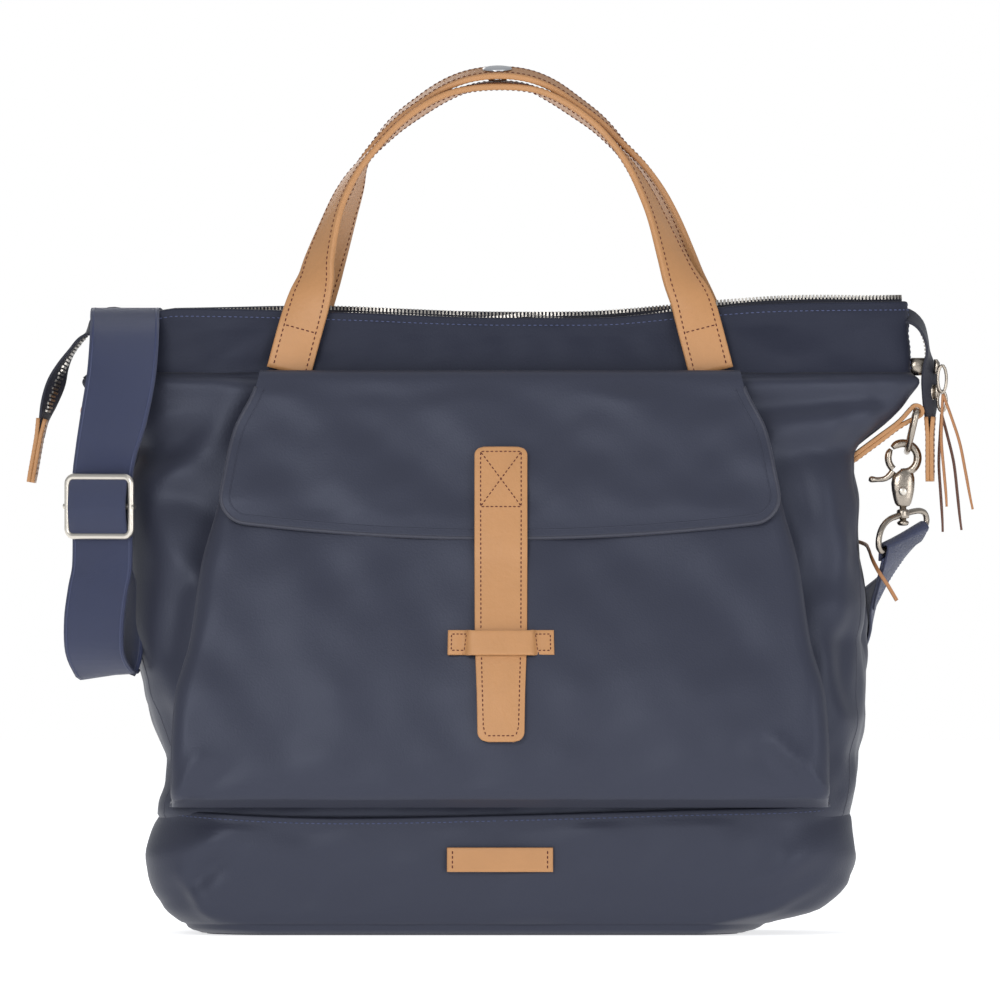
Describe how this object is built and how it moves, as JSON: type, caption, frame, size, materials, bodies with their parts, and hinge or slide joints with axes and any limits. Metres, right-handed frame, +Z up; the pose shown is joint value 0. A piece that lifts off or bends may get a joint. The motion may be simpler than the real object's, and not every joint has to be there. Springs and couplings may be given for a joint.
{
  "type": "diaper bag",
  "caption": "Coated nylon tote for baby care gear, with a bellows pocket under a strap-closed flap, leather handles, open top zip and a clip-on shoulder strap.",
  "frame": {"origin": "centre of the bag's base, on the surface that it stands on", "axes": "+X to the right as seen from the front, +Y towards the back, +Z up"},
  "size_m": [0.5225, 0.2016, 0.4746],
  "materials": {
    "coated_nylon": "satin coated weave",
    "webbing": "ribbed weave",
    "zip_tape": "matte knit",
    "lining": "matte plain weave",
    "leather": "smooth, semi-matte",
    "gunmetal": "antique nickel, satin",
    "satin_nickel": "satin",
    "zip_metal": "antique silver",
    "snap_chrome": "polished",
    "stiffener": "matte board"
  },
  "bodies": {
    "bag": {"front_panel": "coated_nylon", "back_panel": "coated_nylon", "left_gusset": "coated_nylon", "right_gusset": "coated_nylon", "base_band": "coated_nylon", "base_panel": "coated_nylon", "base_board": "stiffener", "lining": "lining", "front_yoke": "coated_nylon", "rear_yoke": "coated_nylon", "rear_pocket_pouch": "lining", "front_zip_tape": "zip_tape", "rear_zip_tape": "zip_tape", "front_zip_teeth": "zip_metal", "rear_zip_teeth": "zip_metal", "left_zip_tail": "zip_tape", "right_zip_tail": "zip_tape", "left_tail_tab": "leather", "right_tail_tab": "leather", "pocket_front": "coated_nylon", "pocket_gusset": "coated_nylon", "strap_keeper": "leather", "label_patch": "leather", "front_handle_feet": "leather", "rear_handle_feet": "leather", "left_ring_tab": "leather", "right_ring_tab": "leather", "left_hook_bail": "gunmetal", "right_hook_bail": "gunmetal", "shoulder_strap": "webbing", "rear_pocket_zip_tape": "zip_tape", "rear_pocket_zip_teeth": "zip_metal"},
    "flap": {"pocket_flap": "coated_nylon", "closure_strap": "leather"},
    "front_handle": {"front_handle": "leather", "handle_snap_stud": "snap_chrome"},
    "rear_handle": {"rear_handle": "leather", "handle_snap_cap": "snap_chrome"},
    "upper_slider": {"upper_zip_slider": "gunmetal"},
    "upper_pull": {"upper_zip_link": "gunmetal", "upper_zip_thong": "leather"},
    "lower_slider": {"lower_zip_slider": "gunmetal"},
    "lower_pull": {"lower_zip_link": "gunmetal", "lower_zip_thong": "leather"},
    "rear_slider": {"rear_pocket_zip_slider": "gunmetal", "rear_pocket_zip_thong": "leather"},
    "strap_slider": {"strap_slider_frame": "satin_nickel", "strap_slider_bar": "satin_nickel", "strap_slider_weave": "webbing"},
    "left_ring": {"left_d_ring": "gunmetal"},
    "left_hook": {"left_hook_body": "gunmetal", "left_hook_rivet": "gunmetal"},
    "left_trigger": {"left_hook_trigger": "gunmetal"},
    "right_ring": {"right_d_ring": "gunmetal"},
    "right_hook": {"right_hook_body": "gunmetal", "right_hook_rivet": "gunmetal"},
    "right_trigger": {"right_hook_trigger": "gunmetal"}
  },
  "joints": [
    {"name": "flap_hinge", "type": "hinge", "parent": "bag", "child": "flap", "pos_m": [0, -0.043, 0.3105], "axis": [-1, 0, 0], "range_deg": [0, 95], "deforming": ["closure_strap"]},
    {"name": "rear_handle_fold", "type": "hinge", "parent": "bag", "child": "rear_handle", "pos_m": [0, 0.0344, 0.331], "axis": [1, 0, 0], "range_deg": [-112, 0]},
    {"name": "front_handle_fold", "type": "hinge", "parent": "bag", "child": "front_handle", "pos_m": [0, -0.0344, 0.331], "axis": [1, 0, 0], "range_deg": [0, 112]},
    {"name": "upper_zip_slide", "type": "slide", "parent": "bag", "child": "upper_slider", "axis": [0, 0, 1], "range_m": [0, 0.006]},
    {"name": "upper_pull_swing", "type": "hinge", "parent": "upper_slider", "child": "upper_pull", "pos_m": [0.2419, 0, 0.311], "axis": [0, -1, 0], "range_deg": [0, 45]},
    {"name": "lower_zip_slide", "type": "slide", "parent": "bag", "child": "lower_slider", "axis": [0, 0, -1], "range_m": [0, 0.008]},
    {"name": "lower_pull_swing", "type": "hinge", "parent": "lower_slider", "child": "lower_pull", "pos_m": [0.2419, 0, 0.297], "axis": [0, -1, 0], "range_deg": [0, 45]},
    {"name": "rear_zip_slide", "type": "slide", "parent": "bag", "child": "rear_slider", "axis": [-1, 0, 0], "range_m": [0, 0.235], "deforming": ["rear_pocket_zip_thong"]},
    {"name": "strap_slider_slide", "type": "slide", "parent": "bag", "child": "strap_slider", "axis": [0, 0, 1], "range_m": [-0.012, 0.012]},
    {"name": "right_ring_swing", "type": "hinge", "parent": "bag", "child": "right_ring", "pos_m": [0.229, 0, 0.2865], "axis": [0, -1, 0], "range_deg": [-6, 0]},
    {"name": "right_hook_swivel", "type": "hinge", "parent": "bag", "child": "right_hook", "pos_m": [0.2216, 0, 0.2607], "axis": [0, 0, 1], "range_deg": [-6, 6]},
    {"name": "right_trigger_press", "type": "hinge", "parent": "right_hook", "child": "right_trigger", "pos_m": [0.2216, 0, 0.2425], "axis": [0, 1, 0], "range_deg": [0, 8], "stiffness_Nm_per_rad": 0.02, "springref_deg": -11.46},
    {"name": "left_ring_swing", "type": "hinge", "parent": "bag", "child": "left_ring", "pos_m": [-0.229, 0, 0.2865], "axis": [0, 1, 0], "range_deg": [-6, 0]},
    {"name": "left_hook_swivel", "type": "hinge", "parent": "bag", "child": "left_hook", "pos_m": [-0.2216, 0, 0.2607], "axis": [0, 0, 1], "range_deg": [-6, 6]},
    {"name": "left_trigger_press", "type": "hinge", "parent": "left_hook", "child": "left_trigger", "pos_m": [-0.2216, 0, 0.2425], "axis": [0, -1, 0], "range_deg": [0, 8], "stiffness_Nm_per_rad": 0.02, "springref_deg": -11.46}
  ],
  "couplings": [
    {"joint": "front_handle_fold", "follows": "rear_handle_fold", "ratio": -1}
  ]
}
